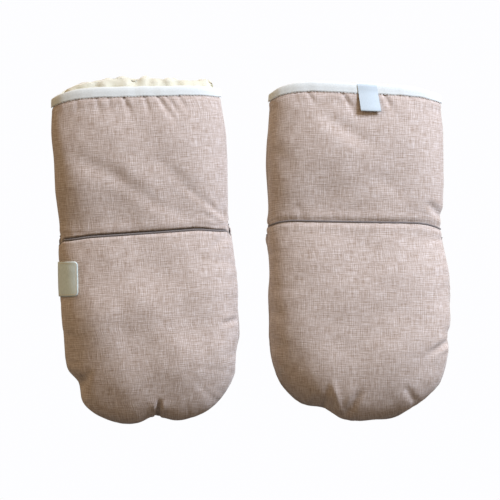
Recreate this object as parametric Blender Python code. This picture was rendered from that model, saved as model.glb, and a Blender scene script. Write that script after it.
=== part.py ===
"""Pair of lambskin-lined hand muffs for a stroller's push bar, in metres, +Z up.

Each muff is a cuff and a pouch, sewn together at the back seam only. Their front edges overlap and close with
hook and loop tape, so the pouch swings back about that seam and the push bar goes in at the front slot.

A muff is drawn in its own frame: the front is -Y, the bar seam lies at z = 0, the mouth is above it and the
fingertips are below it. The left muff shows its front and the right one its back. The part's origin is on the
push bar's axis, midway between the two.
"""

import math

import bmesh
import bpy
from mathutils import Vector

# Lengths along the muff
CUFF_LENGTH = 0.1275
POUCH_LENGTH = 0.184
TIP_LENGTH = 0.100

# Half widths and half depths of the oval section
MOUTH_HALF_WIDTH = 0.0777
CUFF_HALF_WIDTH = 0.0802
SEAM_HALF_WIDTH = 0.0778
EDGE_HALF_WIDTH = 0.0790
POUCH_HALF_WIDTH = 0.0825
MOUTH_HALF_DEPTH = 0.025
CUFF_HALF_DEPTH = 0.034
SEAM_HALF_DEPTH = 0.028
POUCH_HALF_DEPTH = 0.036
SECTION_POWER = 2.6
TIP_POWER = 2.9
TIP_TAPER = 1.3

# Layers of the wall, from the outside in
FABRIC = 0.002
LINING = 0.008
LINING_EDGE = 0.0008
SKIN = 0.001
TAPE = 0.0012
GAP = 0.0003

# Bar slot: the cuff's hem tucks into the pouch's front edge. The seam line dips from the back round to the front.
TUCK = 0.022
HEM_ROLL = 0.010
SEAM_DIP = 0.006
DIP_REACH = 0.035
SHIFT_REACH = 0.010
EDGE_DROP = 0.006
FACING_EASE = 0.008
TAPE_MARGIN = 0.002
BAY_START_SHARE = 0.10
BAY_FULL_SHARE = 0.38
TUCK_FULL_SHARE = 0.82
DIP_FULL_SHARE = 0.05
DIP_NONE_SHARE = 0.85

# Trim
PIPING_DIAMETER = 0.0024
BINDING_HEIGHT = 0.0075
BINDING_WALL = 0.001
ELASTIC_HEIGHT = 0.005
ELASTIC_THICKNESS = 0.001
FLEECE_CROWN = 0.001
SIDE_LABEL_WIDTH = 0.018
SIDE_LABEL_HEIGHT = 0.032
SIDE_LABEL_BELOW_SEAM = 0.029
CARE_LABEL_WIDTH = 0.018
CARE_LABEL_OFFSET = 0.0115
CARE_LABEL_LENGTH = 0.015
LABEL_THICKNESS = 0.0008
CARE_LABEL_LIFT = 0.0015

# How the two muffs hang: the room from the bar's middle to each one's side, and how far each hangs low or high
LEFT_ROOM = 0.0160
RIGHT_ROOM = 0.0127
LEFT_DROP = 0.0019
RIGHT_LIFT = 0.001
LEFT_FLEECE_RISE = 0.006
RIGHT_FLEECE_RISE = 0.0005

# Rows of the meshes, as shares of the cuff's or the pouch's straight length, and of the tip's quarter turn
CUFF_ROW_SHARES = (0.14, 0.32, 0.54, 0.76, 0.89)
POUCH_ROW_SHARES = (0.1, 0.25, 0.38, 0.62, 1)
HEM_ROW_SHARES = (0.33, 0.67, 1)
TIP_ROW_SHARES = (0.2, 0.4, 0.58, 0.74, 0.86, 0.94, 1)
LABEL_ROW_SHARES = (0, 0.33, 0.67, 1)
SIDE_LABEL_COLUMN_SHARES = (0, 0.02, 0.08, 0.2, 0.4, 0.7, 1)
COLUMNS = 32
WELD = 0.00001

# The two muffs as they hang: place of the bar seam, how each is turned, and how its soft body has settled.
# A muff is spread out across by its own share. The mouth's drift and its drops at the -X and the +X end are shares
# of the cuff's length, and its slope and lean are shares of x and y. The pouch's shift is a share of its half width
# and the tip's drift one of its length. A pinch is a place where the tip seam puckers: its z is a share of the
# pouch's length, and its x, its depth and its reach are shares of the pouch's half width.
MUFFS = (
    {
        "name": "left",
        "place": (-POUCH_HALF_WIDTH - LEFT_ROOM, 0, -LEFT_DROP),
        "facing": 0,
        "tilt": math.radians(4),
        "spread_share": 1,
        "mouth_drift_share": 0.007,
        "mouth_slope_share": 0.049,
        "mouth_lean_share": 0,
        "mouth_drop_shares": (0.078, 0.031),
        "pouch_shift_share": 0,
        "tip_drift_share": -0.012,
        "fleece_rise": LEFT_FLEECE_RISE,
        "pinch_shares": (
            (-0.03, -1, 0.097, 0.158),
            (-0.9, -0.79, 0.08, 0.145),
            (-1, -0.5, 0.022, 0.3),
            (0.97, -0.68, 0.035, 0.16),
        ),
    },
    {
        "name": "right",
        "place": (POUCH_HALF_WIDTH + RIGHT_ROOM, 0, RIGHT_LIFT),
        "facing": math.pi,
        "tilt": math.radians(1),
        "spread_share": 1.02,
        "mouth_drift_share": 0.0125,
        "mouth_slope_share": -0.033,
        "mouth_lean_share": 0.066,
        "mouth_drop_shares": (0.047, 0.10),
        "pouch_shift_share": -0.05,
        "tip_drift_share": -0.019,
        "fleece_rise": RIGHT_FLEECE_RISE,
        "pinch_shares": (
            (0.43, -0.97, 0.097, 0.194),
            (-1.03, -0.565, 0.036, 0.097),
            (-0.72, -0.95, 0.06, 0.32),
            (0.75, -0.92, 0.035, 0.25),
        ),
    },
)

COLOURS = {
    "linen": ((0.46, 0.385, 0.34, 1), 0.9),
    "lambskin": ((0.87, 0.85, 0.76, 1), 1),
    "binding": ((0.84, 0.87, 0.9, 1), 0.7),
    "piping": ((0.2, 0.18, 0.17, 1), 0.8),
    "tape": ((0.3, 0.27, 0.25, 1), 0.95),
    "elastic": ((0.8, 0.8, 0.8, 1), 0.8),
    "label": ((0.42, 0.4, 0.32, 1), 0.75),
    "ribbon": ((0.8, 0.85, 0.9, 1), 0.5),
}

PIPING_RADIUS = PIPING_DIAMETER / 2
STRAIGHT_LENGTH = POUCH_LENGTH - TIP_LENGTH
LINING_FACE = FABRIC + GAP
WOOL_FACE = LINING_FACE + LINING
FACING_FACE = LINING_FACE + LINING_EDGE
HOOK_FACE = FACING_FACE + GAP
LOOP_FACE = HOOK_FACE + TAPE + GAP
HEM_FACE = LOOP_FACE + TAPE + GAP
BINDING_FOOT = CUFF_LENGTH - BINDING_HEIGHT
PANEL_TOP = CUFF_LENGTH - BINDING_WALL - GAP


def smooth(share):
    """0 below 0, 1 above 1, and an eased step between them."""
    share = min(1, max(0, share))
    return share * share * (3 - 2 * share)


def puff(share):
    """How full the wadding stands between two seams: 0 at shares 0 and 1, 1 halfway."""
    return math.sin(math.pi * share)


def oval(turn, half_width, half_depth):
    """A point of the oval section: turn 0 is the +X side, a quarter turn the back, three quarters the front."""
    power = 2 / SECTION_POWER
    cosine = math.cos(turn)
    sine = math.sin(turn)
    x = half_width * math.copysign(abs(cosine) ** power, cosine)
    y = half_depth * math.copysign(abs(sine) ** power, sine)
    return x, y


def turn_at(x, half_width):
    """The turn at which the back half of an oval of this half width passes x. The front has it mirrored."""
    share = min(1, max(-1, x / half_width))
    return math.acos(math.copysign(abs(share) ** (SECTION_POWER / 2), share))


def frontness(turn):
    """0 at the back and the sides, 1 at the middle of the front."""
    return max(0, -math.sin(turn))


def bay(turn):
    """1 where the cuff's front steps in behind the pouch's edge, 0 at the sides and the back."""
    return smooth((frontness(turn) - BAY_START_SHARE) / (BAY_FULL_SHARE - BAY_START_SHARE))


def dip(turn):
    """How far the seam line hangs below the bar seam: nothing at the back, all of it at the sides and the front."""
    backness = max(0, math.sin(turn))
    return SEAM_DIP * (1 - smooth((backness - DIP_FULL_SHARE) / (DIP_NONE_SHARE - DIP_FULL_SHARE)))


def dipped(turn, z):
    """A height with the dip of the seam line in it, which fades out above and below the seam."""
    return z - dip(turn) * smooth(1 - abs(z) / DIP_REACH)


def hem_share(turn):
    """1 where the cuff's hem is tucked in all the way."""
    return smooth((frontness(turn) - BAY_FULL_SHARE) / (TUCK_FULL_SHARE - BAY_FULL_SHARE))


def hem_height(turn, share):
    """Height of a row of the tucked hem: share 0 is the seam line and share 1 the hem's foot."""
    return -SEAM_DIP - (TUCK - SEAM_DIP) * hem_share(turn) * share


def edge_height(turn):
    """Height of the pouch's front edge before the dip. Its corners are rounded off at the sides."""
    return -EDGE_DROP * (1 - bay(turn))


def cuff_section(z):
    """Half width and half depth of the cuff's outer face at a height above the seam."""
    share = min(1, z / BINDING_FOOT)
    swell = puff(share)
    level = smooth(share)
    base_width = SEAM_HALF_WIDTH + (MOUTH_HALF_WIDTH - SEAM_HALF_WIDTH) * level
    base_depth = SEAM_HALF_DEPTH + (MOUTH_HALF_DEPTH - SEAM_HALF_DEPTH) * level
    width = base_width + (CUFF_HALF_WIDTH - base_width) * swell
    depth = base_depth + (CUFF_HALF_DEPTH - base_depth) * swell
    return width, depth


def pouch_section(z):
    """Half width and half depth of the pouch's outer face over its straight stretch, z below zero."""
    swell = puff(-z / STRAIGHT_LENGTH / 2)
    width = EDGE_HALF_WIDTH + (POUCH_HALF_WIDTH - EDGE_HALF_WIDTH) * swell
    depth = SEAM_HALF_DEPTH + (POUCH_HALF_DEPTH - SEAM_HALF_DEPTH) * swell
    return width, depth


def cuff_point(muff, turn, z, inset):
    """A point at a depth under the cuff's outer face. The front rolls in to meet the tucked hem."""
    width, depth = cuff_section(z)
    roll = bay(turn) * smooth(1 - z / HEM_ROLL)
    width += (EDGE_HALF_WIDTH - HEM_FACE - width) * roll
    depth += (SEAM_HALF_DEPTH - HEM_FACE - depth) * roll
    x, y = oval(turn, width - inset, depth - inset)
    share = z / CUFF_LENGTH
    end_drop = CUFF_LENGTH * muff["mouth_drop_shares"][1 if x > 0 else 0]
    drop = end_drop * math.cos(turn) ** 4 + muff["mouth_slope_share"] * x
    drop += muff["mouth_lean_share"] * (MOUTH_HALF_DEPTH - y)
    return x + CUFF_LENGTH * muff["mouth_drift_share"] * share, y, dipped(turn, z) - drop * share**2


def closure_point(turn, z, inset):
    """A point of the overlap, at a depth under the pouch's edge. Its faces are arcs about the back seam, which meet
    the oval section at the seam line.
    """
    x, y = oval(turn, EDGE_HALF_WIDTH - inset, SEAM_HALF_DEPTH - inset)
    radius = math.hypot(SEAM_HALF_DEPTH - y, SEAM_DIP)
    return x, SEAM_HALF_DEPTH - math.sqrt(radius * radius - z * z), z


def settling(muff, x, z):
    """How far the soft pouch has shifted at a point of its fabric face. Its lining shifts with it."""
    away = max(0, -z - TUCK)
    shift_x = POUCH_LENGTH * muff["tip_drift_share"] * away / (POUCH_LENGTH - TUCK)
    shift_x += POUCH_HALF_WIDTH * muff["pouch_shift_share"] * smooth(away / SHIFT_REACH)
    shift_z = 0
    heart_z = -POUCH_LENGTH / 2
    for x_share, z_share, depth_share, reach_share in muff["pinch_shares"]:
        pinch_x = x_share * POUCH_HALF_WIDTH
        pinch_z = z_share * POUCH_LENGTH
        distance = math.hypot(x - pinch_x, z - pinch_z) / POUCH_HALF_WIDTH
        pull = depth_share * POUCH_HALF_WIDTH * math.exp(-((distance / reach_share) ** 2))
        length = math.hypot(pinch_x, pinch_z - heart_z)
        shift_x -= pull * pinch_x / length
        shift_z -= pull * (pinch_z - heart_z) / length
    return shift_x, shift_z


def pouch_point(muff, turn, z, inset):
    """A point at a depth under the pouch's outer face, on its straight stretch."""
    width, depth = pouch_section(z)
    x, y = oval(turn, width - inset, depth - inset)
    shift_x, shift_z = settling(muff, oval(turn, width, depth)[0], z)
    return x + shift_x, y, dipped(turn, z) + shift_z


def tip_point(muff, turn, rise, inset):
    """A point of the rounded tip: rise is 0 where the tip begins and a quarter turn at the fingertips."""
    power = 2 / TIP_POWER
    spread = max(0, math.cos(rise)) ** power
    reach = math.sin(rise) ** power
    x, y = oval(turn, (POUCH_HALF_WIDTH - inset) * spread, (POUCH_HALF_DEPTH - inset) * spread**TIP_TAPER)
    outer_x = oval(turn, POUCH_HALF_WIDTH * spread, POUCH_HALF_DEPTH)[0]
    shift_x, shift_z = settling(muff, outer_x, -STRAIGHT_LENGTH - TIP_LENGTH * reach)
    return x + shift_x, y, -STRAIGHT_LENGTH - (TIP_LENGTH - inset) * reach + shift_z


def tip_rows(muff, turn, inset):
    """The rows of the tip, down to the one point where all of them meet."""
    return [tip_point(muff, turn, math.pi / 2 * share, inset) for share in TIP_ROW_SHARES]


def pocket_point(muff, turn, z):
    """A point of the pocket's inner face beside the overlap: wool at the sides and the back, a facing in front."""
    front = bay(turn)
    wool = pouch_point(muff, turn, z, WOOL_FACE)
    if front == 0:
        return wool
    facing = closure_point(turn, dipped(turn, z), FACING_FACE)
    return tuple(far + (near - far) * front for far, near in zip(wool, facing))


def turns(first, last):
    """The columns from one share of a full turn to another, both ends included."""
    count = round(COLUMNS * (last - first))
    return [math.tau * (first + (last - first) * step / count) for step in range(count + 1)]


def material(slot):
    """The slot's material, made once."""
    found = bpy.data.materials.get(slot)
    if found:
        return found
    colour, roughness = COLOURS[slot]
    made = bpy.data.materials.new(slot)
    made.use_nodes = True
    shader = made.node_tree.nodes["Principled BSDF"]
    shader.inputs["Base Color"].default_value = colour
    shader.inputs["Roughness"].default_value = roughness
    made.diffuse_color = colour
    return made


def add_object(name, data, slot, parent):
    """One named piece, hung on the empty that carries it."""
    data.materials.append(material(slot))
    piece = bpy.data.objects.new(name, data)
    bpy.context.scene.collection.objects.link(piece)
    piece.parent = parent
    return piece


def add_empty(name, parent, place, rotation=(0, 0, 0)):
    """An empty that places what hangs on it."""
    made = bpy.data.objects.new(name, None)
    bpy.context.scene.collection.objects.link(made)
    made.parent = parent
    made.location = place
    made.rotation_euler = rotation
    return made


def hung(muff, carrier, point):
    """A point of the muff, spread out across and seen from what carries it."""
    x, y, z = point
    return Vector((x * muff["spread_share"], y, z)) - carrier.location


def sweep(muff, name, slot, carrier, columns, closed):
    """A solid through equal loops of points, one loop to a column. Points that meet at the tip become one."""
    mesh = bpy.data.meshes.new(name)
    shell = bmesh.new()
    rings = []
    for column in columns:
        rings.append([shell.verts.new(hung(muff, carrier, point)) for point in column])
    pairs = list(zip(rings, rings[1:]))
    if closed:
        pairs.append((rings[-1], rings[0]))
    else:
        shell.faces.new(rings[0])
        shell.faces.new(list(reversed(rings[-1])))
    for first, second in pairs:
        for step in range(len(first)):
            after = (step + 1) % len(first)
            near = (first[step], first[after], second[after], second[step])
            split = 0 if first[step].co.z > first[after].co.z else 1
            shell.faces.new((near[split], near[split + 1], near[split + 2]))
            shell.faces.new((near[split + 2], near[split - 1], near[split]))
    bmesh.ops.remove_doubles(shell, verts=shell.verts, dist=WELD)
    bmesh.ops.recalc_face_normals(shell, faces=shell.faces)
    shell.to_mesh(mesh)
    shell.free()
    mesh.shade_smooth()
    mesh.set_sharp_from_angle(angle=math.radians(40))
    return add_object(f"{muff['name']}_{name}", mesh, slot, carrier)


def cord(muff, name, slot, carrier, points, radius):
    """A round cord along a line of points, with closed ends."""
    curve = bpy.data.curves.new(name, "CURVE")
    curve.dimensions = "3D"
    curve.bevel_depth = radius
    curve.bevel_resolution = 1
    curve.use_fill_caps = True
    line = curve.splines.new("POLY")
    line.points.add(len(points) - 1)
    for target, point in zip(line.points, points):
        target.co = (*hung(muff, carrier, point), 1)
    return add_object(f"{muff['name']}_{name}", curve, slot, carrier)


def parted(points, front):
    """A half section moved off the side seam, so that the front and the back panel meet with a gap."""
    shift = -GAP / 2 if front else GAP / 2
    return [(x, y + shift, z) for x, y, z in points]


def cuff_heights(lowest):
    """Heights of the cuff's rows from under the binding down to its lowest row."""
    middle = [BINDING_FOOT * share for share in reversed(CUFF_ROW_SHARES)]
    return [PANEL_TOP, BINDING_FOOT, *middle, lowest]


def cuff_front_panel(muff, carrier):
    """The cuff's front fabric: it rolls in above the slot and tucks down behind the pouch's edge."""

    def face(turn, inset):
        rows = [cuff_point(muff, turn, z, inset) for z in (*cuff_heights(HEM_ROLL), HEM_ROLL / 2, GAP)]
        if hem_share(turn) > 0:
            rows += [closure_point(turn, hem_height(turn, share), HEM_FACE + inset) for share in HEM_ROW_SHARES]
        else:
            rows += [rows[-1]] * len(HEM_ROW_SHARES)
        return parted(rows, True)

    columns = [face(turn, 0) + face(turn, FABRIC)[::-1] for turn in turns(0.5, 1)]
    sweep(muff, "cuff_front_panel", "linen", carrier, columns, False)


def cuff_back_panel(muff, carrier):
    """The cuff's back fabric, from under the binding to just above the piping of the back seam."""

    def face(turn, inset):
        rows = [cuff_point(muff, turn, z, inset) for z in cuff_heights(HEM_ROLL)]
        rows.append(cuff_point(muff, turn, PIPING_RADIUS + GAP, inset))
        return parted(rows, False)

    columns = [face(turn, 0) + face(turn, FABRIC)[::-1] for turn in turns(0, 0.5)]
    sweep(muff, "cuff_back_panel", "linen", carrier, columns, False)


def cuff_lining(muff, carrier):
    """The cuff's lambskin: its skin goes up into the binding and its wool stands free inside, over the rim."""
    skin_face = FABRIC + GAP + ELASTIC_THICKNESS + GAP
    slit_outer = skin_face + SKIN
    slit_inner = slit_outer + GAP + BINDING_WALL + GAP
    step_foot = BINDING_FOOT - GAP
    wool_middle = (slit_inner + WOOL_FACE) / 2
    levels = [BINDING_FOOT * share for share in CUFF_ROW_SHARES]

    def foot_rows(turn, inset):
        if hem_share(turn) > 0:
            heights = [hem_height(turn, share) for share in HEM_ROW_SHARES[::-1]]
            rows = [closure_point(turn, z, HEM_FACE + inset) for z in heights]
        else:
            rows = [cuff_point(muff, turn, GAP, inset)] * len(HEM_ROW_SHARES)
        return rows + [cuff_point(muff, turn, z, inset) for z in (GAP, HEM_ROLL / 2, HEM_ROLL)]

    columns = []
    for turn in turns(0, 1)[:-1]:
        wool_top = CUFF_LENGTH + muff["fleece_rise"] * (1 - math.cos(turn) ** 4)
        outer = foot_rows(turn, LINING_FACE)
        outer += [cuff_point(muff, turn, z, LINING_FACE) for z in levels]
        outer += [cuff_point(muff, turn, step_foot - FABRIC, LINING_FACE)]
        rim = [
            cuff_point(muff, turn, step_foot, skin_face),
            cuff_point(muff, turn, PANEL_TOP, skin_face),
            cuff_point(muff, turn, PANEL_TOP, slit_outer),
            cuff_point(muff, turn, step_foot, slit_outer),
            cuff_point(muff, turn, step_foot, slit_inner),
            cuff_point(muff, turn, wool_top, slit_inner),
            cuff_point(muff, turn, wool_top + FLEECE_CROWN, wool_middle),
            cuff_point(muff, turn, wool_top, WOOL_FACE),
        ]
        inner = [cuff_point(muff, turn, z, WOOL_FACE) for z in [step_foot, *levels[::-1]]]
        inner += foot_rows(turn, WOOL_FACE)[::-1]
        columns.append(outer + rim + inner)
    sweep(muff, "cuff_lining", "lambskin", carrier, columns, True)


def mouth_binding(muff, carrier):
    """Bias tape folded over the mouth: an upside-down channel that holds the fabric, elastic and skin."""
    outer_face = -GAP - BINDING_WALL
    inner_wall = FABRIC + GAP + ELASTIC_THICKNESS + GAP + SKIN + GAP
    profile = (
        (outer_face, BINDING_FOOT),
        (outer_face, CUFF_LENGTH - BINDING_WALL),
        (outer_face + BINDING_WALL, CUFF_LENGTH),
        (inner_wall, CUFF_LENGTH),
        (inner_wall + BINDING_WALL, CUFF_LENGTH - BINDING_WALL),
        (inner_wall + BINDING_WALL, BINDING_FOOT),
        (inner_wall, BINDING_FOOT),
        (inner_wall, CUFF_LENGTH - BINDING_WALL),
        (-GAP, CUFF_LENGTH - BINDING_WALL),
        (-GAP, BINDING_FOOT),
    )
    columns = [[cuff_point(muff, turn, z, inset) for inset, z in profile] for turn in turns(0, 1)[:-1]]
    sweep(muff, "mouth_binding", "binding", carrier, columns, True)


def mouth_elastic(muff, carrier):
    """The flat elastic between the fabric and the skin, which gathers the mouth."""
    outer = FABRIC + GAP
    inner = outer + ELASTIC_THICKNESS
    low = PANEL_TOP - ELASTIC_HEIGHT
    profile = ((outer, low), (outer, PANEL_TOP), (inner, PANEL_TOP), (inner, low))
    columns = [[cuff_point(muff, turn, z, inset) for inset, z in profile] for turn in turns(0, 1)[:-1]]
    sweep(muff, "mouth_elastic", "elastic", carrier, columns, True)


def pouch_face(muff, turn, top, inset):
    """A face of the pouch from its top edge to the fingertips."""
    rows = [pouch_point(muff, turn, top, inset)]
    rows += [pouch_point(muff, turn, -STRAIGHT_LENGTH * share, inset) for share in POUCH_ROW_SHARES]
    return rows + tip_rows(muff, turn, inset)


def pouch_front_panel(muff, carrier):
    """The pouch's front fabric, whose top edge is free and piped."""
    columns = []
    for turn in turns(0.5, 1):
        top = edge_height(turn)
        column = pouch_face(muff, turn, top, 0) + pouch_face(muff, turn, top, FABRIC)[::-1]
        columns.append(parted(column, True))
    sweep(muff, "pouch_front_panel", "linen", carrier, columns, False)


def pouch_back_panel(muff, carrier):
    """The pouch's back fabric, sewn to the cuff along the back piping."""
    top = -PIPING_RADIUS - GAP
    columns = []
    for turn in turns(0, 0.5):
        column = pouch_face(muff, turn, top, 0) + pouch_face(muff, turn, top, FABRIC)[::-1]
        columns.append(parted(column, False))
    sweep(muff, "pouch_back_panel", "linen", carrier, columns, False)


def pouch_lining(muff, carrier):
    """The pouch's lambskin pocket. Behind the front edge it thins to a facing that carries the hook tape."""
    columns = []
    for turn in turns(0, 1)[:-1]:
        top = edge_height(turn) if math.sin(turn) < 0 else -GAP
        outer = pouch_face(muff, turn, top, LINING_FACE)
        facing = [pocket_point(muff, turn, top - (TUCK + top) * share) for share in (0, *HEM_ROW_SHARES)]
        below = -TUCK - FACING_EASE
        inner = [pouch_point(muff, turn, below, WOOL_FACE)]
        inner += [pouch_point(muff, turn, -STRAIGHT_LENGTH * share, WOOL_FACE) for share in POUCH_ROW_SHARES[3:]]
        inner += tip_rows(muff, turn, WOOL_FACE)
        columns.append(outer + (facing + inner)[::-1])
    sweep(muff, "pouch_lining", "lambskin", carrier, columns, True)


def tape(muff, name, carrier, outer):
    """One strip of the closure. Both strips lie on arcs about the back seam, so they part without rubbing."""
    top = -SEAM_DIP - TAPE_MARGIN
    reach = top + TUCK - TAPE_MARGIN
    heights = [top - reach * share for share in (0, *HEM_ROW_SHARES)]
    held = [turn for turn in turns(0.5, 1) if hem_share(turn) == 1]
    columns = []
    for turn in held:
        column = [closure_point(turn, z, outer) for z in heights]
        columns.append(column + [closure_point(turn, z, outer + TAPE) for z in heights[::-1]])
    sweep(muff, name, "tape", carrier, columns, False)


def slot_piping(muff, carrier):
    """The piping that edges the pouch's front, sitting on the fabric's top edge and turned down at the sides."""
    points = []
    for turn in turns(0.5, 1):
        z = dipped(turn, edge_height(turn)) + GAP + PIPING_RADIUS
        width, depth = pouch_section(edge_height(turn))
        inset = FABRIC - PIPING_RADIUS
        x, y = oval(turn, width - inset, depth - inset)
        points.append((x, y - GAP, z))
    cord(muff, "slot_piping", "piping", carrier, points, PIPING_RADIUS)


def back_piping(muff, carrier):
    """The piping in the back seam. Its middle lies on the line that the pouch folds about."""
    points = []
    for turn in turns(0, 0.5):
        x, y = oval(turn, EDGE_HALF_WIDTH, SEAM_HALF_DEPTH)
        points.append((x, y + GAP, dipped(turn, 0)))
    cord(muff, "back_piping", "piping", carrier, points, PIPING_RADIUS)


def side_label(muff, carrier):
    """The woven tab caught in the side seam of the pouch's front."""
    heights = [-SIDE_LABEL_BELOW_SEAM - SIDE_LABEL_HEIGHT * share for share in LABEL_ROW_SHARES]
    columns = []
    for share in SIDE_LABEL_COLUMN_SHARES:
        turn = math.tau - turn_at(SIDE_LABEL_WIDTH * share - POUCH_HALF_WIDTH, POUCH_HALF_WIDTH)
        lower = [pouch_point(muff, turn, z, -GAP) for z in heights]
        upper = [pouch_point(muff, turn, z, -GAP - LABEL_THICKNESS) for z in heights]
        columns.append(parted(lower + upper[::-1], True))
    sweep(muff, "side_label", "label", carrier, columns, False)


def care_label(muff, carrier):
    """The folded ribbon that hangs from the binding near the middle of the back."""
    heights = [BINDING_FOOT - GAP - CARE_LABEL_LENGTH * share for share in LABEL_ROW_SHARES]
    lifts = [CARE_LABEL_LIFT * share for share in LABEL_ROW_SHARES]
    columns = []
    for share in LABEL_ROW_SHARES:
        turn = turn_at(CARE_LABEL_WIDTH * (0.5 - share) - CARE_LABEL_OFFSET, CUFF_HALF_WIDTH)
        lower = [cuff_point(muff, turn, z, -GAP - lift) for z, lift in zip(heights, lifts)]
        upper = [cuff_point(muff, turn, z, -GAP - lift - LABEL_THICKNESS) for z, lift in zip(heights, lifts)]
        columns.append(lower + upper[::-1])
    sweep(muff, "care_label", "ribbon", carrier, columns, False)


def build_muff(muff):
    """One muff: a cuff that holds still and a pouch that folds about the back seam."""
    cuff = add_empty(f"{muff['name']}_cuff_frame", None, muff["place"], (0, -muff["tilt"], muff["facing"]))
    body = add_empty(f"{muff['name']}_cuff_body", cuff, (0, 0, 0))
    fold = add_empty(f"{muff['name']}_fold_axis", cuff, (0, SEAM_HALF_DEPTH, 0))
    cuff_front_panel(muff, body)
    cuff_back_panel(muff, body)
    cuff_lining(muff, body)
    mouth_binding(muff, body)
    mouth_elastic(muff, body)
    tape(muff, "loop_tape", body, LOOP_FACE)
    pouch_front_panel(muff, fold)
    pouch_back_panel(muff, fold)
    pouch_lining(muff, fold)
    tape(muff, "hook_tape", fold, HOOK_FACE)
    slot_piping(muff, fold)
    back_piping(muff, fold)
    if muff["facing"]:
        care_label(muff, body)
    else:
        side_label(muff, fold)


def main():
    for old in list(bpy.data.objects):
        bpy.data.objects.remove(old)
    for muff in MUFFS:
        build_muff(muff)


main()
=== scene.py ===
"""The looks of a pair of hand muffs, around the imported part, in metres, +Z up.

Each muff is drawn in its own frame, as the part is: the front is -Y, the bar seam lies at z = 0, the mouth is
above it and the fingertips are below it. The left muff shows its front and the right one its back.
"""

import math

import bmesh
import bpy
import numpy as np
from mathutils import Matrix, Vector
from mathutils.bvhtree import BVHTree


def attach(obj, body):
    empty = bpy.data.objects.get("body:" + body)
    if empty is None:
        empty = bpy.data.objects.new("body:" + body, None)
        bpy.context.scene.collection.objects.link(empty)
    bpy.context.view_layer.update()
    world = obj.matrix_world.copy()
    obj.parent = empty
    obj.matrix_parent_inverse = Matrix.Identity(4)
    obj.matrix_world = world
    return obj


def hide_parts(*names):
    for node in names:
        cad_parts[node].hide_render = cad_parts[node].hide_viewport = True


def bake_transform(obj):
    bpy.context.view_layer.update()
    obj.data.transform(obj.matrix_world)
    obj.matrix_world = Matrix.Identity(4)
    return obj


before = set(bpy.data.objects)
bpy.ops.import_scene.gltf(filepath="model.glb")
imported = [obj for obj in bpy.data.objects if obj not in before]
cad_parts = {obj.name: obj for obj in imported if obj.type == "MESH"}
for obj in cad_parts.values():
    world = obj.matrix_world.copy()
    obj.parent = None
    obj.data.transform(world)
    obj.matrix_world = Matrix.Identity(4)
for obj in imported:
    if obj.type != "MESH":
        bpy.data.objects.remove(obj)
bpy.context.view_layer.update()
MM = 0.001
BACK, FRONT, ALL_ROUND = (0, math.pi), (math.pi, math.tau), (0, math.tau)

# Sizes of the part's sections and layers
CUFF_LENGTH = 0.1275
POUCH_LENGTH = 0.184
TIP_LENGTH = 0.100
MOUTH_HALF_WIDTH = 0.0777
CUFF_HALF_WIDTH = 0.0802
SEAM_HALF_WIDTH = 0.0778
EDGE_HALF_WIDTH = 0.0790
POUCH_HALF_WIDTH = 0.0825
MOUTH_HALF_DEPTH = 0.025
CUFF_HALF_DEPTH = 0.034
SEAM_HALF_DEPTH = 0.028
POUCH_HALF_DEPTH = 0.036
SECTION_POWER = 2.6
TIP_POWER = 2.9
TIP_TAPER = 1.3
FACING_FACE = 0.0031
HEM_FACE = 0.0064
HEM_SIDE_FACE = 0.0026
WOOL_FACE = 0.0103
RIM_WOOL_FACE = 0.0062
RIM_WOOL_START = 0.004
TUCK = 0.022
HEM_ROLL = 0.0036
HEM_LIFT = 0.0004
SEAM_DIP = 0.006
DIP_REACH = 0.035
SHIFT_START = 0.004
SHIFT_REACH = 0.050
EDGE_DROP = 0.006
BAY_START_SHARE = 0.10
BAY_FULL_SHARE = 0.38
TUCK_FULL_SHARE = 0.82
DIP_FULL_SHARE = 0.05
DIP_NONE_SHARE = 0.85
BINDING_HEIGHT = 0.0092
BINDING_FOOT = CUFF_LENGTH - BINDING_HEIGHT
STRAIGHT_LENGTH = POUCH_LENGTH - TIP_LENGTH
PANEL_TOP = 0.1262
CORD_RADIUS = 0.0010
CORD_INSET = 0.0011
CORD_SIDE_INSET = 0.0012
LEFT_ROOM = 0.0160
RIGHT_ROOM = 0.0127
LEFT_DROP = 0.0019
RIGHT_LIFT = 0.001

# The cloth
CORNER_TUCK = 0.0055
SLOT_DROP = 0.0026
SLOT_CORNER_START = 0.046
SLOT_CORNER_REACH = 0.030
FOLD_OVER = 0.012
CLOTH_STEP = 0.002
WOOL_STEP = 0.0029
SEAM_HOLLOW = 0.0012
SEAM_HOLLOW_WIDTH = 0.004
CALM_REACH = 0.012
SIDE_CALM_REACH = 0.006
MOUTH_CALM_REACH = 0.004
EDGE_CALM_REACH = 0.003
SLOT_CALM_REACH = 0.004
SLOT_CALM_START = 0.001
BULGE_HEIGHT = 0.0005
BULGE_PLACE = 0.0050
BULGE_WIDTH = 0.0030
MOUTH_BULGE_HEIGHT = 0.0004
MOUTH_BULGE_PLACE = 0.004
MOUTH_BULGE_WIDTH = 0.003
BINDING_SINK = 0.0016
SINK_START = 0.0006
SINK_REACH = 0.0012
# How far from a side seam the painted shade of the seam's groove reaches
PAINTED_SEAM_SHADE_REACH = 0.0030
CUFF_FLATTENING = 0.0024
BACK_SEAM_HOLLOW = 0.0012
BACK_SEAM_HOLLOW_WIDTH = 0.002
FOLD_SIDE_SHARE = 2.4
# Within this distance of a side seam the painted seam shade is at its darkest
PAINTED_SEAM_SHADE_START = 0.0004
WELD_REACH = 1e-5

# Random waves: (how many, shortest, longest, height).
SWELL_WAVES = (14, 0.045, 0.110, 0.0009)
FINE_WAVES = (16, 0.016, 0.036, 0.00012)
BINDING_RIPPLES = (18, 0.0060, 0.016, 0.00012)
BINDING_WAVES = (8, 0.014, 0.04, 0.0002)
WOOL_CURLS = ((14, 0.010, 0.016, 0.0008), (12, 0.005, 0.008, 0.0003))
CURL_GAIN = 1.4

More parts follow.
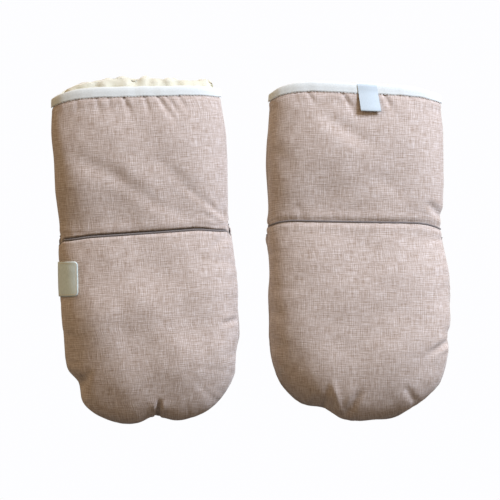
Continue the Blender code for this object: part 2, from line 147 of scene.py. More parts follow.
# Random gathers along a seam: (spacing, length, width, depth).
MOUTH_PUCKERS = (0.0070, 0.009, 0.0014, 0.0004)
CUFF_SEAM_PUCKERS = (0.0095, 0.010, 0.0018, 0.0005)
POUCH_SEAM_PUCKERS = (0.0105, 0.009, 0.0018, 0.0005)
SIDE_PUCKERS = (0.0105, 0.026, 0.0022, 0.0011)

# One gather's spacing, length and depth, as shares of the given ones, and its lean
SPACING_SHARES = (0.6, 1.5)
LENGTH_SHARES = (0.5, 1.4)
DEPTH_SHARES = (0.15, 1)
LEANS = (-0.35, 0.35)

# The stitches, the label's ray, the camera and the lights
STITCH_LENGTH = 0.0021
STITCH_PITCH = 0.0030
THREAD_RADIUS = 0.00022
THREAD_SIDES = 6
THREAD_PROFILE = ((-0.5, 0.35), (-0.42, 0.8), (-0.2, 1.0), (0.2, 1.0), (0.42, 0.8), (0.5, 0.35))
RAY_START = 0.02
CAMERA_TARGET = (-0.0009, 0, -0.0258)
CAMERA_ELEVATION = 2
CAMERA_DISTANCE = 12.0
CAMERA_LENS = 939.2
LIGHT_TARGET = (0, 0, -0.03)
BACKDROP_WHITE = (0.985, 0.985, 1.0, 1)

# A fold is a hollow between two places on the face, in millimetres: (x, z, x, z, width, depth).
# A fold with a depth below zero is a ridge.
# A gather runs down from the binding: (x in millimetres, lean, length, width and depth in millimetres).
# A hump of the fleece is (x, width, height) in millimetres.
# A pinch is (x share of the half width, z share of the pouch, depth share, reach share).
LEFT = {
    "name": "left",
    "place": (-POUCH_HALF_WIDTH - LEFT_ROOM, 0, -LEFT_DROP),
    "facing": 0,
    "tilt": math.radians(4),
    "spread_share": 1,
    "mouth_drift_share": 0.007,
    "mouth_slope_share": 0.049,
    "mouth_lean_share": 0,
    "mouth_drop_shares": (0.078, 0.031),
    "pouch_shift_share": 0,
    "tip_drift_share": -0.012,
    "pinch_shares": (
        (0.006, -1, 0.082, 0.15), (-0.9, -0.79, 0.08, 0.145), (-1, -0.5, 0.022, 0.3),
        (0.97, -0.68, 0.035, 0.16),
    ),
    "slot_corner_drops": (0.0020, 0.0035),
    "fleece_rise": 0.0045,
    "fleece_humps": ((-16, 14, 3.6), (12, 12, 2.6), (34, 12, 1.6), (72, 7, 3.4), (-66, 16, -0.4)),
    "front_gathers": (
        (-53, -0.1, 10, 1.6, 0.7), (-35, 0.1, 12, 1.8, 1.0), (-24, 0.1, 11, 1.5, 0.8),
        (-10, 0.3, 15, 2.0, 1.5), (9, 0.2, 16, 1.8, 1.2), (21, 0.6, 19, 2.1, 1.5), (29, 0.6, 15, 1.9, 1.1),
        (40, 0.5, 12, 1.8, 1.1),
    ),
    "back_gathers": ((-40, -0.2, 14, 2.0, 1.0), (-8, 0.3, 16, 2.0, 1.2), (26, -0.3, 18, 2.0, 1.2)),
    "front_folds": (
        (-58, 63, -14, 44, 8.0, 1.0), (-22, 46, 16, 16, 7.5, 1.0), (8, 20, 38, 6, 5.0, 0.5),
        (16, 60, 52, 26, 6.0, 0.6), (40, 32, 76, 3, 3.5, 0.7), (-66, 100, -58, 60, 9.0, 0.6),
        (77, -2, 60, 16, 2.6, 0.9), (76, 3, 66, 24, 2.6, 0.7), (70, -3, 52, 8, 2.2, 0.5),
        (76, -16, 60, -28, 3.5, 0.9), (72, -12, 64, -24, 2.5, 0.6), (80, -93, 66, -96, 2.6, 2.0),
        (-88, -104, -30, -190, 22.0, 2.4), (-0.6, -180, 3.2, -162, 2.3, 3.6),
        (-70, -144, -58, -131, 3.6, 1.1), (10, -118, 34, -138, 10.0, 0.3),
    ),
    "back_folds": (
        (20, 66, -8, 34, 6.0, 1.4), (-4, -176, 0, -158, 2.8, 2.4), (-50, 90, -30, 70, 7.0, 0.7),
        (-40, -60, -10, -80, 8.0, 0.6),
    ),
    "seed": 11,
}
RIGHT = {
    "name": "right",
    "place": (POUCH_HALF_WIDTH + RIGHT_ROOM, 0, RIGHT_LIFT),
    "facing": math.pi,
    "tilt": math.radians(1),
    "spread_share": 1.02,
    "mouth_drift_share": 0.0125,
    "mouth_slope_share": -0.033,
    "mouth_lean_share": 0.066,
    "mouth_drop_shares": (0.047, 0.10),
    "pouch_shift_share": -0.05,
    "tip_drift_share": -0.019,
    "pinch_shares": (
        (0.43, -0.97, 0.097, 0.194), (-1.03, -0.565, 0.036, 0.097), (-0.72, -0.95, 0.06, 0.32),
        (0.75, -0.92, 0.035, 0.25),
    ),
    "slot_corner_drops": (0.0020, 0.0020),
    "fleece_rise": -0.0004,
    "fleece_humps": (),
    "front_gathers": ((-30, 0.2, 14, 2.0, 1.0), (4, -0.3, 16, 2.0, 1.2), (34, 0.3, 18, 2.0, 1.2)),
    "back_gathers": (
        (56, -0.2, 8, 1.6, 0.7), (44, -0.5, 9, 1.8, 1.2), (13, -0.6, 15, 2.0, 1.6), (-4, -0.2, 8, 1.5, 0.5),
        (-25, -0.5, 13, 2.0, 1.4), (-48, -0.3, 7, 1.6, 0.5),
    ),
    "front_folds": ((-30, 70, 6, 44, 7.0, 1.2), (16, -150, 26, -132, 4.0, 0.9), (50, 90, 30, 70, 7.0, 0.7)),
    "back_folds": (
        (30, 98, -16, 69, 7.5, 1.2), (88, 120, 88, -10, 20.0, 2.6), (88, -10, 88, -110, 16.0, 2.0),
        (88, -90, 36, -190, 22.0, 2.4), (74, 66, 58, 44, 9.0, 0.8), (26, -173, 21, -150, 3.0, 1.0),
        (5, -178, -9, -154, 3.5, 1.8), (9, -176, 17, -146, 3.0, -1.2), (-66, 18, -80, 4, 3.4, 2.0),
        (52, 14, 46, 3, 3.0, 0.4), (-87, -109, -69, -121, 3.2, 2.2), (-57, -164, -48, -151, 3.5, 1.0),
        (79, -84, 60, -88, 6.0, 0.9), (77, -114, 60, -118, 7.0, 0.9), (-20, 40, -50, 22, 8.0, 0.6),
    ),
    "seed": 29,
}


def smooth(share):
    """0 below 0, 1 above 1, and an eased step between them."""
    share = np.clip(share, 0, 1)
    return share * share * (3 - 2 * share)


def between(start, end, share):
    """The value at a share of the way from start to end."""
    return start + (end - start) * share


def puff(share):
    """How full the wadding stands between two seams."""
    return np.sin(math.pi * share)


def hump(distance, width):
    """A soft hump, 1 where distance is zero."""
    return np.exp(-((distance / width) ** 2))


def stack(x, y, z):
    """Points from arrays that broadcast together."""
    return np.stack(np.broadcast_arrays(x, y, z), axis=-1).astype(float)


def oval(turn, half_width, half_depth):
    """Points of the oval section: turn 0 is the +X side and a quarter turn the back."""
    power = 2 / SECTION_POWER
    cosine, sine = np.cos(turn), np.sin(turn)
    x = half_width * np.sign(cosine) * np.abs(cosine) ** power
    y = half_depth * np.sign(sine) * np.abs(sine) ** power
    return x, np.where(np.abs(sine) < 1e-9, 0, y)


def frontness(turn):
    """1 at the middle of the front, 0 at the sides and the back."""
    return np.maximum(0, -np.sin(turn))


def front_middle(turn):
    """1 along the middle of the front, easing to 0 at its sides."""
    return smooth(frontness(turn) / 0.5)


def bay(turn):
    """1 where the cuff's front steps in behind the pouch's edge."""
    return smooth((frontness(turn) - BAY_START_SHARE) / (BAY_FULL_SHARE - BAY_START_SHARE))


def dip(turn):
    """How far the seam line hangs below the bar seam."""
    backness = np.maximum(0, np.sin(turn))
    return SEAM_DIP * (1 - smooth((backness - DIP_FULL_SHARE) / (DIP_NONE_SHARE - DIP_FULL_SHARE)))


def dipped(turn, z):
    """A height with the dip of the seam line in it."""
    return z - dip(turn) * smooth(1 - np.abs(z) / DIP_REACH)


def edge_height(muff, turn):
    """Height of the pouch's front edge on the even face. It hangs a little, and more so at its corners."""
    x = oval(turn, EDGE_HALF_WIDTH, SEAM_HALF_DEPTH)[0]
    minus_end, plus_end = muff["slot_corner_drops"]
    drop = EDGE_DROP * (1 - bay(turn)) + SLOT_DROP * np.minimum(1, frontness(turn) / BAY_START_SHARE)
    outer = smooth((np.abs(x) - SLOT_CORNER_START) / SLOT_CORNER_REACH)
    return -drop - np.where(x > 0, plus_end, minus_end) * outer


def hem_start(muff, turn):
    """Height on the even face where the cuff's front turns into its hem."""
    return edge_height(muff, turn) + HEM_LIFT


def hem_face(turn):
    """How deep the hem's outer side lies under the pouch's face."""
    return np.maximum(HEM_FACE * bay(turn), HEM_SIDE_FACE)


def hem_height(muff, turn, share):
    """Height of a row of the cuff's hem inside the pouch. The cloth's corners go in a little too."""
    start = dipped(turn, hem_start(muff, turn))
    corner = start - CORNER_TUCK
    foot = between(corner, -TUCK, smooth(frontness(turn) / TUCK_FULL_SHARE))
    return between(start, foot, share)


def cuff_section(z):
    """Half width and half depth of the cuff at a height."""
    share = np.clip(z / BINDING_FOOT, 0, 1)
    swell, level = puff(share), smooth(share)
    width = between(between(SEAM_HALF_WIDTH, MOUTH_HALF_WIDTH, level), CUFF_HALF_WIDTH, swell)
    return width, between(between(SEAM_HALF_DEPTH, MOUTH_HALF_DEPTH, level), CUFF_HALF_DEPTH, swell)


def pouch_section(z):
    """Half width and half depth of the pouch at a height of its straight stretch."""
    swell = puff(-z / STRAIGHT_LENGTH / 2)
    width = between(EDGE_HALF_WIDTH, POUCH_HALF_WIDTH, swell)
    return width, between(SEAM_HALF_DEPTH, POUCH_HALF_DEPTH, swell)


def cuff_points(muff, turn, z, inset):
    """Points at a depth under the cuff's outer face."""
    width, depth = cuff_section(z)
    roll = bay(turn) * smooth(1 - (z - hem_start(muff, turn)) / HEM_ROLL)
    width = between(width, EDGE_HALF_WIDTH - HEM_FACE, roll)
    depth = between(depth, SEAM_HALF_DEPTH - HEM_FACE, roll)
    x, y = oval(turn, width - inset, depth - inset)
    share = z / CUFF_LENGTH
    minus_end, plus_end = muff["mouth_drop_shares"]
    drop = CUFF_LENGTH * np.where(x > 0, plus_end, minus_end) * np.cos(turn) ** 4
    drop = drop + muff["mouth_slope_share"] * x + muff["mouth_lean_share"] * (MOUTH_HALF_DEPTH - y)
    drift = CUFF_LENGTH * muff["mouth_drift_share"] * share
    return stack(x + drift, y, dipped(turn, z) - drop * share**2)


def closure_points(turn, z, inset):
    """Points of the overlap, whose faces are arcs about the back seam."""
    x, y = oval(turn, EDGE_HALF_WIDTH - inset, SEAM_HALF_DEPTH - inset)
    radius = np.hypot(SEAM_HALF_DEPTH - y, SEAM_DIP)
    return stack(x, SEAM_HALF_DEPTH - np.sqrt(np.maximum(radius * radius - z * z, 0)), z)


def every_point(values, other):
    """Values of rows or columns, one for each point that they make with the other array."""
    return values + np.zeros_like(other)


def settling(muff, x, z):
    """How far the soft pouch has shifted at a place of its face."""
    away = np.maximum(0, -z - TUCK)
    aside = smooth((-z - SHIFT_START) / SHIFT_REACH)
    shift_x = POUCH_LENGTH * muff["tip_drift_share"] * away / (POUCH_LENGTH - TUCK)
    shift_x += POUCH_HALF_WIDTH * muff["pouch_shift_share"] * aside
    shift_z = np.zeros_like(shift_x)
    heart_z = -POUCH_LENGTH / 2
    for x_share, z_share, depth_share, reach_share in muff["pinch_shares"]:
        pinch_x, pinch_z = x_share * POUCH_HALF_WIDTH, z_share * POUCH_LENGTH
        distance = np.hypot(x - pinch_x, z - pinch_z) / POUCH_HALF_WIDTH
        pull = depth_share * POUCH_HALF_WIDTH * hump(distance, reach_share)
        length = math.hypot(pinch_x, pinch_z - heart_z)
        shift_x -= pull * pinch_x / length
        shift_z -= pull * (pinch_z - heart_z) / length
    return shift_x, shift_z


def pouch_points(muff, turn, z, inset):
    """Points at a depth under the pouch's outer face, on its straight stretch."""
    width, depth = pouch_section(z)
    x, y = oval(turn, width - inset, depth - inset)
    shift_x, shift_z = settling(muff, oval(turn, width, depth)[0], every_point(z, x))
    return stack(x + shift_x, y, dipped(turn, z) + shift_z)


def tip_points(muff, turn, rise, inset):
    """Points of the rounded tip: rise is 0 where it begins and a quarter turn at the fingertips."""
    power = 2 / TIP_POWER
    spread = np.maximum(0, np.cos(rise)) ** power
    reach = np.sin(rise) ** power
    x, y = oval(turn, (POUCH_HALF_WIDTH - inset) * spread, (POUCH_HALF_DEPTH - inset) * spread**TIP_TAPER)
    outer_x = oval(turn, POUCH_HALF_WIDTH * spread, POUCH_HALF_DEPTH)[0]
    shift_x, shift_z = settling(muff, outer_x, every_point(-STRAIGHT_LENGTH - TIP_LENGTH * reach, x))
    return stack(x + shift_x, y, -STRAIGHT_LENGTH - (TIP_LENGTH - inset) * reach + shift_z)


def even_steps(curve, first, last, step):
    """Values from first to last at which a curve has moved on by about one step each."""
    fine = np.linspace(first, last, 4000)
    x, y = curve(fine)
    walked = np.concatenate([[0], np.cumsum(np.hypot(np.diff(x), np.diff(y)))])
    count = max(2, round(walked[-1] / step))
    return np.interp(np.linspace(0, walked[-1], count + 1), walked, fine)


def columns(way, step):
    """Turns along a way round the section, evenly apart."""
    return even_steps(lambda turn: oval(turn, CUFF_HALF_WIDTH, CUFF_HALF_DEPTH), *way, step)[None, :]


def tip_rises(step):
    """Rises of the tip's rows, from just past its start to the fingertips."""
    power = 2 / TIP_POWER

    def outline(rise):
        return POUCH_HALF_WIDTH * np.cos(rise).clip(0) ** power, TIP_LENGTH * np.sin(rise) ** power

    return even_steps(outline, 0, math.pi / 2, step)[1:, None]


def heights(first, last, step):
    """Heights from first to last, evenly apart, as rows."""
    count = max(1, round(abs(last - first) / step))
    return np.linspace(first, last, count + 1)[:, None]


def outward(grid):
    """Unit normals of a grid of points whose rows go down and whose columns go round."""
    down = np.gradient(grid, axis=0)
    across = np.gradient(grid, axis=1)
    normal = np.cross(down, across)
    length = np.linalg.norm(normal, axis=-1, keepdims=True)
    return np.where(length > 1e-12, normal / np.maximum(length, 1e-12), (0, 0, -1))


def rolling(rng, x, z, count, shortest, longest, height):
    """A soft random swell: waves of unlike length and heading, added up."""
    total = np.zeros_like(x)
    for _ in range(count):
        length = rng.uniform(shortest, longest)
        heading = rng.uniform(0, math.pi)
        phase = rng.uniform(0, math.tau)
        total += np.sin((x * math.cos(heading) + z * math.sin(heading)) * math.tau / length + phase)
    return total * height / math.sqrt(count)


def hollow(x, z, start, end, width):
    """1 along the line from start to end, fading to its sides and its ends."""
    run_x, run_z = end[0] - start[0], end[1] - start[1]
    length = math.hypot(run_x, run_z)
    along = ((x - start[0]) * run_x + (z - start[1]) * run_z) / length**2
    across = ((x - start[0]) * run_z - (z - start[1]) * run_x) / length
    ends = smooth(along * 3 + 0.5) * smooth((1 - along) * 2 + 0.3)
    return hump(across, width) * ends


def gathers(rng, place, away, first, last, spacing, length, width, depth):
    """Gathers that start at a seam: place runs along the seam and away is the distance from it."""
    total = np.zeros_like(place)
    at = first
    while at < last:
        at += rng.uniform(*SPACING_SHARES) * spacing
        reach = length * rng.uniform(*LENGTH_SHARES)
        lean = rng.uniform(*LEANS)
        deep = depth * rng.uniform(*DEPTH_SHARES) ** 1.5
        wide = width * (0.8 + away / reach)
        total += deep * hump(place - at - lean * away, wide) * np.exp(-((away / reach) ** 1.6))
    return total


def pressed_folds(x, z, folds):
    """How deep the folds go in, each between two slight rises."""
    total = np.zeros_like(x)
    for x1, z1, x2, z2, width, depth in folds:
        ends = (x1 * MM, z1 * MM), (x2 * MM, z2 * MM)
        line = hollow(x, z, *ends, width * MM)
        beside = hollow(x, z, *ends, FOLD_SIDE_SHARE * width * MM)
        total += depth * MM * (1.5 * line - 0.5 * beside)
    return total


def mouth_gathers(x, under, listed):
    """How deep the gathers under the binding go in, each between two slight rises."""
    total = np.zeros_like(x)
    for at, lean, reach, width, depth in listed:
        aside = x - at * MM - lean * under
        wide = width * MM * (0.7 + 0.8 * np.maximum(under, 0) / (reach * MM))
        shape = 2.0 * hump(aside, wide) - 0.6 * hump(aside, FOLD_SIDE_SHARE * wide)
        total += depth * MM * hump(under, reach * MM) * shape
    return total


def lengths_along(points):
    """How far along a line each of its points lies."""
    return np.concatenate([[0], np.cumsum(np.linalg.norm(np.diff(points, axis=0), axis=1))])


def rim_distance(grid, rim):
    """For each point of a grid, the place along the rim of the nearest rim point, and the distance to it."""
    along = lengths_along(rim)
    place, away = np.zeros(grid.shape[:2]), np.zeros(grid.shape[:2])
    for row, points in enumerate(grid):
        distance = np.linalg.norm(points[:, None] - rim[None], axis=-1)
        nearest = distance.argmin(axis=1)
        place[row] = along[nearest]
        away[row] = distance[np.arange(len(points)), nearest]
    return place, away


def flat_places(grid):
    """Where each point of a grid lies on the cloth before it was sewn: across and along its middle column."""
    steps = np.linalg.norm(np.diff(grid, axis=1), axis=-1)
    across = np.concatenate([np.zeros((len(grid), 1)), np.cumsum(steps, axis=1)], axis=1)
    across = across - across[:, -1:] / 2
    along = lengths_along(grid[:, grid.shape[1] // 2])
    # Their z lies at the painted seam shade's reach, so these places get none of it
    return stack(across, -along[:, None], PAINTED_SEAM_SHADE_REACH)


def side_rims(grid):
    """The two side edges of a cloth as one line, down one side and up the other."""
    return np.concatenate([grid[:, 0], grid[::-1, -1]])


def seamed_places(grid):
    """The flat places of a cloth with, as their z, the distance from its side seams, which sets the painted
    seam shade.
    """
    places = flat_places(grid)
    places[..., 2] = rim_distance(grid, side_rims(grid))[1]
    return places


def relief(muff, side, grid, level):
    """How far the cloth stands out from its even face. level is each point's height on the even face."""
    rng = np.random.default_rng(muff["seed"] + (0 if side == "front" else 1))
    x, z = grid[..., 0], grid[..., 2]
    across = flat_places(grid)[..., 0]
    rim = side_rims(grid)
    place, away = rim_distance(grid, rim)
    from_seam, under = np.abs(level), BINDING_FOOT - level
    clear = smooth(away / CALM_REACH)
    ends = -CUFF_HALF_WIDTH, CUFF_HALF_WIDTH

    swell = rolling(rng, x, z, *SWELL_WAVES)
    middle = 1 - np.minimum(1, np.abs(x) / CUFF_HALF_WIDTH) ** 2
    swell -= CUFF_FLATTENING * middle * puff(np.clip(level / BINDING_FOOT, 0, 1))
    swell += rolling(rng, x, z, *FINE_WAVES)
    swell -= pressed_folds(x, z, muff[f"{side}_folds"])
    swell *= smooth(away / SIDE_CALM_REACH)
    swell *= smooth(under / CALM_REACH)
    swell *= smooth((from_seam + SLOT_CALM_START) / SLOT_CALM_REACH)

    mouth = mouth_gathers(x, under, muff[f"{side}_gathers"])
    mouth += gathers(rng, across, np.abs(under), *ends, *MOUTH_PUCKERS)
    swell -= mouth * smooth(away / MOUTH_CALM_REACH)
    above = gathers(rng, across, from_seam, *ends, *CUFF_SEAM_PUCKERS)
    below = gathers(rng, across, from_seam, *ends, *POUCH_SEAM_PUCKERS)
    swell -= np.where(level > 0, above, below) * clear
    edge = gathers(rng, place, away, 0, lengths_along(rim)[-1], *SIDE_PUCKERS)
    swell -= edge * clear * smooth(-level / CALM_REACH * 2)

    swell += BULGE_HEIGHT * hump(from_seam - BULGE_PLACE, BULGE_WIDTH)
    swell += MOUTH_BULGE_HEIGHT * hump(under - MOUTH_BULGE_PLACE, MOUTH_BULGE_WIDTH)
    swell -= BINDING_SINK * smooth((SINK_START - under) / SINK_REACH)
    return swell - SEAM_HOLLOW * hump(away, SEAM_HOLLOW_WIDTH)


def raised(grid, out):
    """A grid moved outward along its normals."""
    return grid + outward(grid) * out[..., None]


def pointed(grid):
    """A grid whose last row is drawn together into one point."""
    grid[-1] = grid[-1].mean(axis=0)
    return grid


def muff_matrix(muff):
    """From a muff's own frame to its place in the part."""
    turned = Matrix.Rotation(muff["facing"], 4, "Z") @ Matrix.Rotation(-muff["tilt"], 4, "Y")
    return Matrix.Translation(muff["place"]) @ turned @ Matrix.Diagonal((muff["spread_share"], 1, 1, 1))


def grid_faces(grid, closed=False, inward=False):
    """The quads of a grid of points, row by row."""
    rows, count = grid.shape[:2]
    row, column = np.meshgrid(np.arange(rows - 1), np.arange(count if closed else count - 1), indexing="ij")
    near, after = row * count, (column + 1) % count
    far = near + count
    quads = np.stack((near + column, far + column, far + after, near + after), axis=-1).reshape(-1, 4)
    return (quads[:, ::-1] if inward else quads).tolist()


def add_object(name, data):
    """An object made of its data, in the scene."""
    made = bpy.data.objects.new(name, data)
    bpy.context.scene.collection.objects.link(made)
    return made


def add_piece(muff, name, points, faces, slot, flat=None, finish=None, weld=True):
    """One piece of a muff, moved from its frame to its place. flat is kept for the material's weave, and its
    z for a label's border or the linen's painted seam shade.
    """
    mesh = bpy.data.meshes.new(name)
    mesh.from_pydata(np.asarray(points, float).reshape(-1, 3).tolist(), [], faces)
    if flat is not None:
        kept = mesh.attributes.new("flat_place", "FLOAT_VECTOR", "POINT")
        kept.data.foreach_set("vector", np.asarray(flat, np.float32).ravel())
    if weld:
        shell = bmesh.new()
        shell.from_mesh(mesh)
        bmesh.ops.remove_doubles(shell, verts=shell.verts, dist=WELD_REACH)
        shell.to_mesh(mesh)
        shell.free()
    mesh.transform(muff_matrix(muff))
    mesh.materials.append(MATERIALS[finish or slot])
    mesh.shade_smooth()
    made = add_object(f"{muff['name']}_{name}", mesh)
    return made


def stand_in(muff, piece, body, *nodes):
    """Says which of the muff's bodies a piece rides on, and which solids it takes the place of."""
    if nodes:
        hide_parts(*(f"{muff['name']}_{node}" for node in nodes))
    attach(piece, f"{muff['name']}_{body}")


def node_maker(material):
    """Adds nodes to a material: inputs are constants or other nodes' outputs."""
    tree = material.node_tree

    def add(kind, inputs=None, **settings):
        made = tree.nodes.new(f"ShaderNode{kind}")
        for key, value in settings.items():
            setattr(made, key, value)
        for key, value in (inputs or {}).items():
            if isinstance(value, bpy.types.NodeSocket):
                tree.links.new(value, made.inputs[key])
            else:
                made.inputs[key].default_value = value
        return made

    return add


def set_inputs(node, values):
    """Sets constant inputs of a node."""
    for key, value in values.items():
        node.inputs[key].default_value = value


def new_material(name, roughness, sheen=0.0):
    """A material, and a function that adds nodes to it."""
    made = bpy.data.materials.new(name)
    made.use_nodes = True
    set_inputs(made.node_tree.nodes["Principled BSDF"], {
        "Roughness": roughness, "Sheen Weight": sheen, "Sheen Roughness": 0.5, "Specular IOR Level": 0.25,
    })
    return made, node_maker(made)


def surface(material, colour, height, strength, distance):
    """Gives a material its colour, and the bump of a height."""
    bump = node_maker(material)("Bump", {"Height": height, "Strength": strength, "Distance": distance})
    shader = material.node_tree.nodes["Principled BSDF"]
    material.node_tree.links.new(colour, shader.inputs["Base Color"])
    material.node_tree.links.new(bump.outputs["Normal"], shader.inputs["Normal"])
    return material


def flat_place(add):
    """The place on the flat cloth, kept with each piece."""
    return add("Attribute", attribute_name="flat_place").outputs["Vector"]


def noise(add, place, scale, detail, roughness):
    """A noise's level at a place."""
    settings = {"Vector": place, "Scale": scale, "Detail": detail, "Roughness": roughness}
    return add("TexNoise", settings).outputs["Fac"]


def yarn_noise(add, place, stretch, detail, roughness=0.6):
    """Noise stretched along the yarns."""
    spread = add("VectorMath", {0: place, 1: stretch}, operation="MULTIPLY").outputs[0]
    return noise(add, spread, 1, detail, roughness)


def mixed(add, first, share, second):
    """A share of the first level, added to the second."""
    return add("Math", {0: first, 1: share, 2: second}, operation="MULTIPLY_ADD").outputs[0]


def shades(add, level, colours):
    """The colour that a ramp gives to a level. Each of its stops is (position, red, green, blue)."""
    ramp = add("ValToRGB", {"Fac": level})
    elements = ramp.color_ramp.elements
    while len(elements) < len(colours):
        elements.new(0.5)
    for element, (position, *colour) in zip(elements, colours):
        element.position = position
        element.color = (*colour, 1)
    return ramp.outputs["Color"]


def linen_material():
    """Melange cloth: crossed slubs of light and dark yarn over a plain weave, with painted shade of the
    seams' groove beside the side seams.
    """
    made, add = new_material("melange_linen", 0.88, 0.2)
    place = flat_place(add)

    def crossed(thick, long):
        """Yarns that run along and yarns that run across, added up."""
        along = yarn_noise(add, place, (thick, long, 1), 1)
        return add("Math", {0: along, 1: yarn_noise(add, place, (long, thick, 1), 1)}).outputs[0]

    both = mixed(add, crossed(2600, 420), 0.4, crossed(1250, 85))
    lines = {"Vector": place, "Scale": 174.5, "Distortion": 0.7, "Detail": 1, "Detail Scale": 0.4}
    warp, weft = (add("TexWave", lines, bands_direction=way).outputs["Fac"] for way in "XY")
    woven = mixed(add, add("Math", {0: warp, 1: weft}).outputs[0], 0.10, both)
    level = add("MapRange", {"Value": woven, "From Min": 1.04, "From Max": 1.96}).outputs[0]
    yarns = shades(add, level, ((0.0, 0.30, 0.225, 0.175), (0.32, 0.43, 0.345, 0.29),
                                (0.5, 0.50, 0.42, 0.368), (0.7, 0.58, 0.505, 0.46), (1.0, 0.71, 0.65, 0.62)))
    # Painted shade of the side seams' groove: up to 70% of a dark brown near the seam, fading out at its
    # reach
    fade = {"Value": add("SeparateXYZ", {0: place}).outputs["Z"], "From Min": PAINTED_SEAM_SHADE_START,
            "From Max": PAINTED_SEAM_SHADE_REACH, "To Min": 0.7, "To Max": 0.0}
    painted_seam_shade = add("MapRange", fade).outputs[0]
    colours = {"Factor": painted_seam_shade, "A": yarns, "B": (0.16, 0.12, 0.10, 1)}
    return surface(made, add("Mix", colours, data_type="RGBA").outputs["Result"], woven, 0.4, 0.0004)


def plain_textile(name, dark, light, roughness, sheen, stretch, strength, distance):
    """A simple textile: two shades mixed by a stretched noise that also lifts the surface."""
    made, add = new_material(name, roughness, sheen)
    weave = yarn_noise(add, flat_place(add), stretch, 3)
    return surface(made, shades(add, weave, ((0.3, *dark), (0.7, *light))), weave, strength, distance)


def wool_material():
    """Lambskin: cream curls with painted shade in the partings between them."""
    made, add = new_material("lambskin_wool", 1.0, 0.6)
    place = add("TexCoord").outputs["Object"]
    curls = add("TexVoronoi", {"Vector": place, "Scale": 210.0}, feature="SMOOTH_F1").outputs["Distance"]
    height = mixed(add, curls, -1.4, noise(add, place, 900, 3, 0.7))
    # Random tone, with painted shade where the curls part
    tone_and_painted_parting_shade = mixed(add, curls, -0.35, noise(add, place, 70, 2, 0.5))
    wool = shades(add, tone_and_painted_parting_shade, ((0.1, 0.62, 0.59, 0.45), (0.35, 0.66, 0.645, 0.52), (0.6, 0.69, 0.68, 0.57)))
    return surface(made, wool, height, 0.4, 0.0008)


def label_material():
    """A woven label, left bare, with a stitched border. flat_place's z is the distance from its edge."""
    made, add = new_material("bare_woven_label", 0.7, 0.15)
    place = flat_place(add)
    weave = yarn_noise(add, place, (1500, 300, 0), 2, 0.5)
    edge = add("SeparateXYZ", {0: place}).outputs["Z"]
    off_line = add("Math", {0: edge, 1: 0.0016}, operation="SUBTRACT").outputs[0]
    gap = add("Math", {0: off_line}, operation="ABSOLUTE").outputs[0]
    line = add("MapRange", {"Value": gap, "From Min": 0.00035, "From Max": 0.0002}).outputs[0]
    ground = shades(add, weave, ((0.3, 0.58, 0.69, 0.68), (0.7, 0.70, 0.81, 0.80)))
    colours = {"Factor": line, "A": ground, "B": (0.70, 0.68, 0.58, 1)}
    return surface(made, add("Mix", colours, data_type="RGBA").outputs["Result"], weave, 0.4, 0.0003)


MATERIALS = {
    "linen": linen_material(),
    "lambskin": wool_material(),
    "binding": plain_textile("white_bias_tape", (0.60, 0.64, 0.625), (0.71, 0.75, 0.735), 0.75, 0.3,
                             (600, 1800, 0), 0.3, 0.0003),
    "piping": plain_textile("grey_piping_cloth", (0.10, 0.085, 0.08), (0.23, 0.205, 0.195), 0.8, 0.2,
                            (900, 2600, 0), 0.5, 0.0003),
    "tape": plain_textile("hook_and_loop_tape", (0.20, 0.17, 0.15), (0.40, 0.35, 0.31), 0.95, 0.3,
                          (1800, 1800, 1800), 1.0, 0.0008),
    "label": label_material(),
    "ribbon": plain_textile("bare_satin_ribbon", (0.46, 0.54, 0.58), (0.54, 0.62, 0.67), 0.45, 0.2,
                            (2600, 400, 0), 0.2, 0.0002),
    "thread": plain_textile("white_thread", (0.70, 0.72, 0.72), (0.90, 0.90, 0.88), 0.6, 0.2,
                            (3000, 3000, 3000), 0.3, 0.0002),
}


def back_seam_blend(piece):
    """Bakes the piece's transform into its mesh."""
    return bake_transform(piece)


def pouch_rows(muff, turn, top, inset, step):
    """The pouch's face from its top edge to the fingertips, and each point's height on the even face."""
    share = heights(0, 1, step / (STRAIGHT_LENGTH + np.min(top)))
    level = between(top, -STRAIGHT_LENGTH, share)
    straight = pouch_points(muff, turn, level, inset)
    rises = tip_rises(step)
    tip = pointed(tip_points(muff, turn, rises, inset))
    tip_level = -STRAIGHT_LENGTH - TIP_LENGTH * np.sin(rises) ** (2 / TIP_POWER)
    levels = [every_point(part, turn) for part in (level, tip_level)]
    return np.concatenate([straight, tip]), np.concatenate(levels)


def cloth_piece(muff, part, body, grid):
    """A front panel of the outer cloth, and the grid that it was made from."""
    made = add_piece(muff, f"{part}_cloth", grid, grid_faces(grid), "linen", seamed_places(grid))
    stand_in(muff, made, body, f"{part}_panel")
    return made, grid


def back_cloth(muff):
    """The back: the cuff's and the pouch's cloth, joined at the back seam."""
    turn = columns(BACK, CLOTH_STEP)
    level = heights(PANEL_TOP, 0, CLOTH_STEP)[:-1]
    pouch, pouch_levels = pouch_rows(muff, turn, 0, 0, CLOTH_STEP)
    grid = np.concatenate([cuff_points(muff, turn, level, 0), pouch])
    levels = np.concatenate([every_point(level, turn), pouch_levels])
    out = relief(muff, "back", grid, levels)
    shaped = pointed(raised(grid, out - BACK_SEAM_HOLLOW * hump(levels, BACK_SEAM_HOLLOW_WIDTH)))
    made = add_piece(muff, "back_cloth", shaped, grid_faces(grid), "linen", seamed_places(grid))
    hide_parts(f"{muff['name']}_cuff_back_panel", f"{muff['name']}_pouch_back_panel")
    back_seam_blend(made)
    return made, shaped


